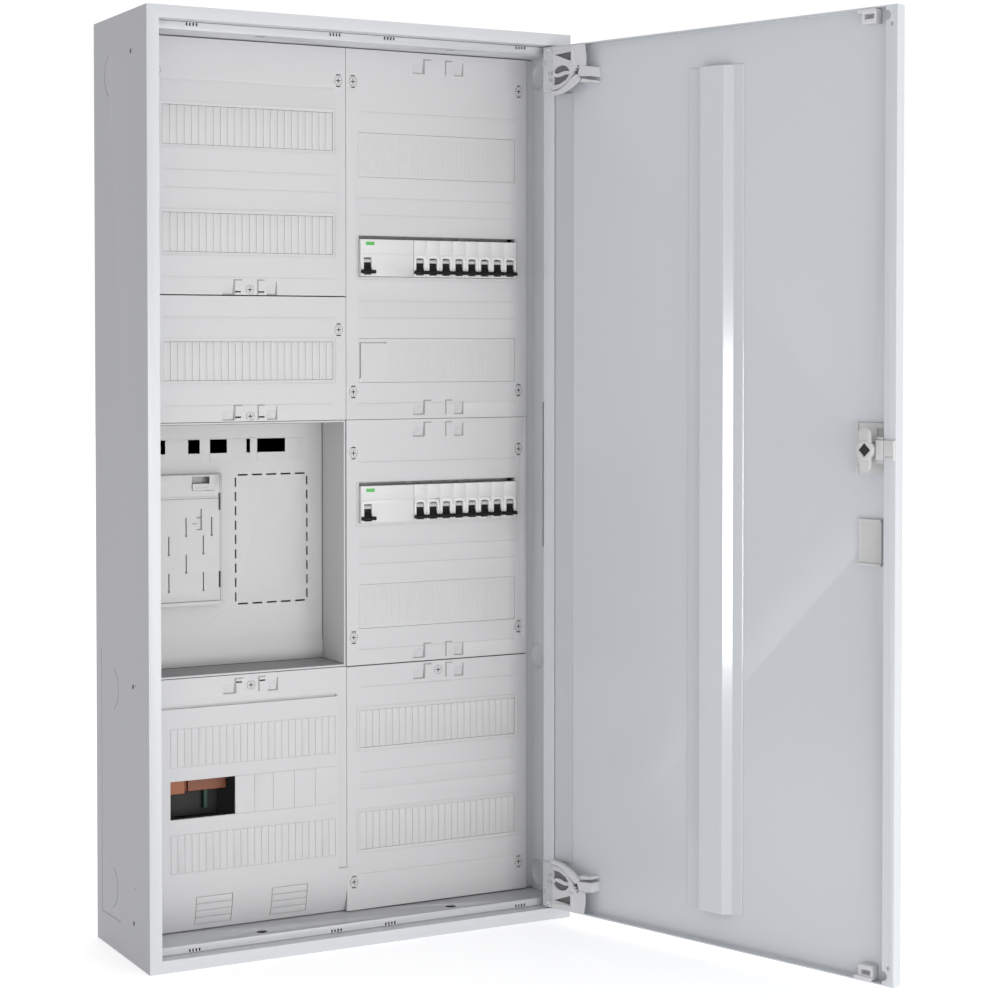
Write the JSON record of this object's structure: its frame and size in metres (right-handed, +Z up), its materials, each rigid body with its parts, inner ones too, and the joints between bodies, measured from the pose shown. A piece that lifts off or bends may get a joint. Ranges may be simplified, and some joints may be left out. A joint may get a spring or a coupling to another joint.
{
  "type": "wall-mounted meter and distribution cabinet",
  "caption": "Wall-mounted two-field sheet-steel electrical cabinet with an open hinged door, moulded covers, a meter recess and toggle breakers.",
  "frame": {"origin": "centre of the flat rear wall face of the cabinet", "axes": "+Z up, +Y from the cabinet into the wall, so the door side faces -Y and +X is the hinge side"},
  "size_m": [0.6902, 0.6739, 1.1],
  "materials": {
    "powder_coated_steel": "light grey powder coat, satin",
    "powder_coated_side": "light grey powder coat, satin",
    "zinc_plated_steel": "zinc plated",
    "cover_plastic": "moulded light grey",
    "strip_plastic": "moulded light grey",
    "device_plastic": "moulded off-white",
    "toggle_plastic": "black",
    "tray_plastic": "moulded grey",
    "terminal_plastic": "orange terminal shroud",
    "door_coating": "cool grey powder coat, semi-gloss",
    "latch_plastic": "moulded light grey",
    "spindle_black": "black"
  },
  "bodies": {
    "enclosure": {"back_panel": "powder_coated_side", "side_left": "powder_coated_side", "side_right": "powder_coated_side", "top_panel": "powder_coated_side", "bottom_panel": "powder_coated_side", "front_frame": "powder_coated_steel", "inner_frame": "zinc_plated_steel", "din_rail_1": "zinc_plated_steel", "din_rail_2": "zinc_plated_steel", "terminal_block": "terminal_plastic", "cover_left_upper": "cover_plastic", "cover_left_middle": "cover_plastic", "cover_left_lower": "cover_plastic", "cover_right_upper": "cover_plastic", "cover_right_middle": "cover_plastic", "cover_right_lower": "cover_plastic", "strip_left_1": "strip_plastic", "strip_left_2": "strip_plastic", "strip_left_3": "strip_plastic", "strip_right_1": "strip_plastic", "strip_right_2": "strip_plastic", "strip_right_3": "strip_plastic", "strip_right_4": "strip_plastic", "strip_right_5": "strip_plastic", "meter_tray": "tray_plastic", "meter_adapter": "tray_plastic", "rcd_1": "device_plastic", "rcd_2": "device_plastic", "mcb_row_1": "device_plastic", "mcb_row_2": "device_plastic"},
    "door": {"door_leaf": "door_coating", "door_stiffener": "door_coating", "latch_housing": "latch_plastic", "latch_blank": "latch_plastic", "hinge_arm_top": "latch_plastic", "hinge_arm_bottom": "latch_plastic", "corner_clip_top": "latch_plastic", "corner_clip_bottom": "latch_plastic"},
    "lever": {"latch_lever": "latch_plastic", "latch_spindle": "spindle_black"},
    "tongue": {"latch_tongue": "latch_plastic"},
    "catch": {"adapter_catch": "tray_plastic"},
    "rcd_1_toggle_body": {"rcd_1_toggle": "toggle_plastic"},
    "rcd_2_toggle_body": {"rcd_2_toggle": "toggle_plastic"},
    "mcb_1_1_toggle_body": {"mcb_1_1_toggle": "toggle_plastic"},
    "mcb_1_2_toggle_body": {"mcb_1_2_toggle": "toggle_plastic"},
    "mcb_1_3_toggle_body": {"mcb_1_3_toggle": "toggle_plastic"},
    "mcb_1_4_toggle_body": {"mcb_1_4_toggle": "toggle_plastic"},
    "mcb_1_5_toggle_body": {"mcb_1_5_toggle": "toggle_plastic"},
    "mcb_1_6_toggle_body": {"mcb_1_6_toggle": "toggle_plastic"},
    "mcb_1_7_toggle_body": {"mcb_1_7_toggle": "toggle_plastic"},
    "mcb_1_8_toggle_body": {"mcb_1_8_toggle": "toggle_plastic"},
    "mcb_2_1_toggle_body": {"mcb_2_1_toggle": "toggle_plastic"},
    "mcb_2_2_toggle_body": {"mcb_2_2_toggle": "toggle_plastic"},
    "mcb_2_3_toggle_body": {"mcb_2_3_toggle": "toggle_plastic"},
    "mcb_2_4_toggle_body": {"mcb_2_4_toggle": "toggle_plastic"},
    "mcb_2_5_toggle_body": {"mcb_2_5_toggle": "toggle_plastic"},
    "mcb_2_6_toggle_body": {"mcb_2_6_toggle": "toggle_plastic"},
    "mcb_2_7_toggle_body": {"mcb_2_7_toggle": "toggle_plastic"},
    "mcb_2_8_toggle_body": {"mcb_2_8_toggle": "toggle_plastic"}
  },
  "joints": [
    {"name": "door_hinge", "type": "hinge", "parent": "enclosure", "child": "door", "pos_m": [0.252, -0.185, 0], "axis": [0, 0, 1], "range_deg": [-108.1, 4]},
    {"name": "latch_turn", "type": "hinge", "parent": "door", "child": "lever", "pos_m": [0.39973, -0.63697, 0.0518], "axis": [-0.9505, -0.3107, 0], "range_deg": [0, 90]},
    {"name": "tongue_slide", "type": "slide", "parent": "door", "child": "tongue", "axis": [0.3107, -0.9505, 0], "range_m": [0, 0.012]},
    {"name": "catch_slide", "type": "slide", "parent": "enclosure", "child": "catch", "axis": [0, 0, 1], "range_m": [0, 0.008]},
    {"name": "rcd_1_toggle_turn", "type": "hinge", "parent": "enclosure", "child": "rcd_1_toggle_body", "pos_m": [0.0268, -0.121, 0.264], "axis": [1, 0, 0], "range_deg": [-80, 0]},
    {"name": "rcd_2_toggle_turn", "type": "hinge", "parent": "enclosure", "child": "rcd_2_toggle_body", "pos_m": [0.0268, -0.121, -0.0365], "axis": [1, 0, 0], "range_deg": [-80, 0]},
    {"name": "mcb_1_1_toggle_turn", "type": "hinge", "parent": "enclosure", "child": "mcb_1_1_toggle_body", "pos_m": [0.0977, -0.121, 0.264], "axis": [1, 0, 0], "range_deg": [-80, 0]},
    {"name": "mcb_1_2_toggle_turn", "type": "hinge", "parent": "enclosure", "child": "mcb_1_2_toggle_body", "pos_m": [0.1157, -0.121, 0.264], "axis": [1, 0, 0], "range_deg": [-80, 0]},
    {"name": "mcb_1_3_toggle_turn", "type": "hinge", "parent": "enclosure", "child": "mcb_1_3_toggle_body", "pos_m": [0.1337, -0.121, 0.264], "axis": [1, 0, 0], "range_deg": [-80, 0]},
    {"name": "mcb_1_4_toggle_turn", "type": "hinge", "parent": "enclosure", "child": "mcb_1_4_toggle_body", "pos_m": [0.1517, -0.121, 0.264], "axis": [1, 0, 0], "range_deg": [-80, 0]},
    {"name": "mcb_1_5_toggle_turn", "type": "hinge", "parent": "enclosure", "child": "mcb_1_5_toggle_body", "pos_m": [0.1697, -0.121, 0.264], "axis": [1, 0, 0], "range_deg": [-80, 0]},
    {"name": "mcb_1_6_toggle_turn", "type": "hinge", "parent": "enclosure", "child": "mcb_1_6_toggle_body", "pos_m": [0.1877, -0.121, 0.264], "axis": [1, 0, 0], "range_deg": [-80, 0]},
    {"name": "mcb_1_7_toggle_turn", "type": "hinge", "parent": "enclosure", "child": "mcb_1_7_toggle_body", "pos_m": [0.2057, -0.121, 0.264], "axis": [1, 0, 0], "range_deg": [-80, 0]},
    {"name": "mcb_1_8_toggle_turn", "type": "hinge", "parent": "enclosure", "child": "mcb_1_8_toggle_body", "pos_m": [0.2237, -0.121, 0.264], "axis": [1, 0, 0], "range_deg": [-80, 0]},
    {"name": "mcb_2_1_toggle_turn", "type": "hinge", "parent": "enclosure", "child": "mcb_2_1_toggle_body", "pos_m": [0.0977, -0.121, -0.0365], "axis": [1, 0, 0], "range_deg": [-80, 0]},
    {"name": "mcb_2_2_toggle_turn", "type": "hinge", "parent": "enclosure", "child": "mcb_2_2_toggle_body", "pos_m": [0.1157, -0.121, -0.0365], "axis": [1, 0, 0], "range_deg": [-80, 0]},
    {"name": "mcb_2_3_toggle_turn", "type": "hinge", "parent": "enclosure", "child": "mcb_2_3_toggle_body", "pos_m": [0.1337, -0.121, -0.0365], "axis": [1, 0, 0], "range_deg": [-80, 0]},
    {"name": "mcb_2_4_toggle_turn", "type": "hinge", "parent": "enclosure", "child": "mcb_2_4_toggle_body", "pos_m": [0.1517, -0.121, -0.0365], "axis": [1, 0, 0], "range_deg": [-80, 0]},
    {"name": "mcb_2_5_toggle_turn", "type": "hinge", "parent": "enclosure", "child": "mcb_2_5_toggle_body", "pos_m": [0.1697, -0.121, -0.0365], "axis": [1, 0, 0], "range_deg": [-80, 0]},
    {"name": "mcb_2_6_toggle_turn", "type": "hinge", "parent": "enclosure", "child": "mcb_2_6_toggle_body", "pos_m": [0.1877, -0.121, -0.0365], "axis": [1, 0, 0], "range_deg": [-80, 0]},
    {"name": "mcb_2_7_toggle_turn", "type": "hinge", "parent": "enclosure", "child": "mcb_2_7_toggle_body", "pos_m": [0.2057, -0.121, -0.0365], "axis": [1, 0, 0], "range_deg": [-80, 0]},
    {"name": "mcb_2_8_toggle_turn", "type": "hinge", "parent": "enclosure", "child": "mcb_2_8_toggle_body", "pos_m": [0.2237, -0.121, -0.0365], "axis": [1, 0, 0], "range_deg": [-80, 0]}
  ],
  "couplings": [
    {"joint": "tongue_slide", "follows": "latch_turn", "m_per_rad": 0.00763}
  ]
}
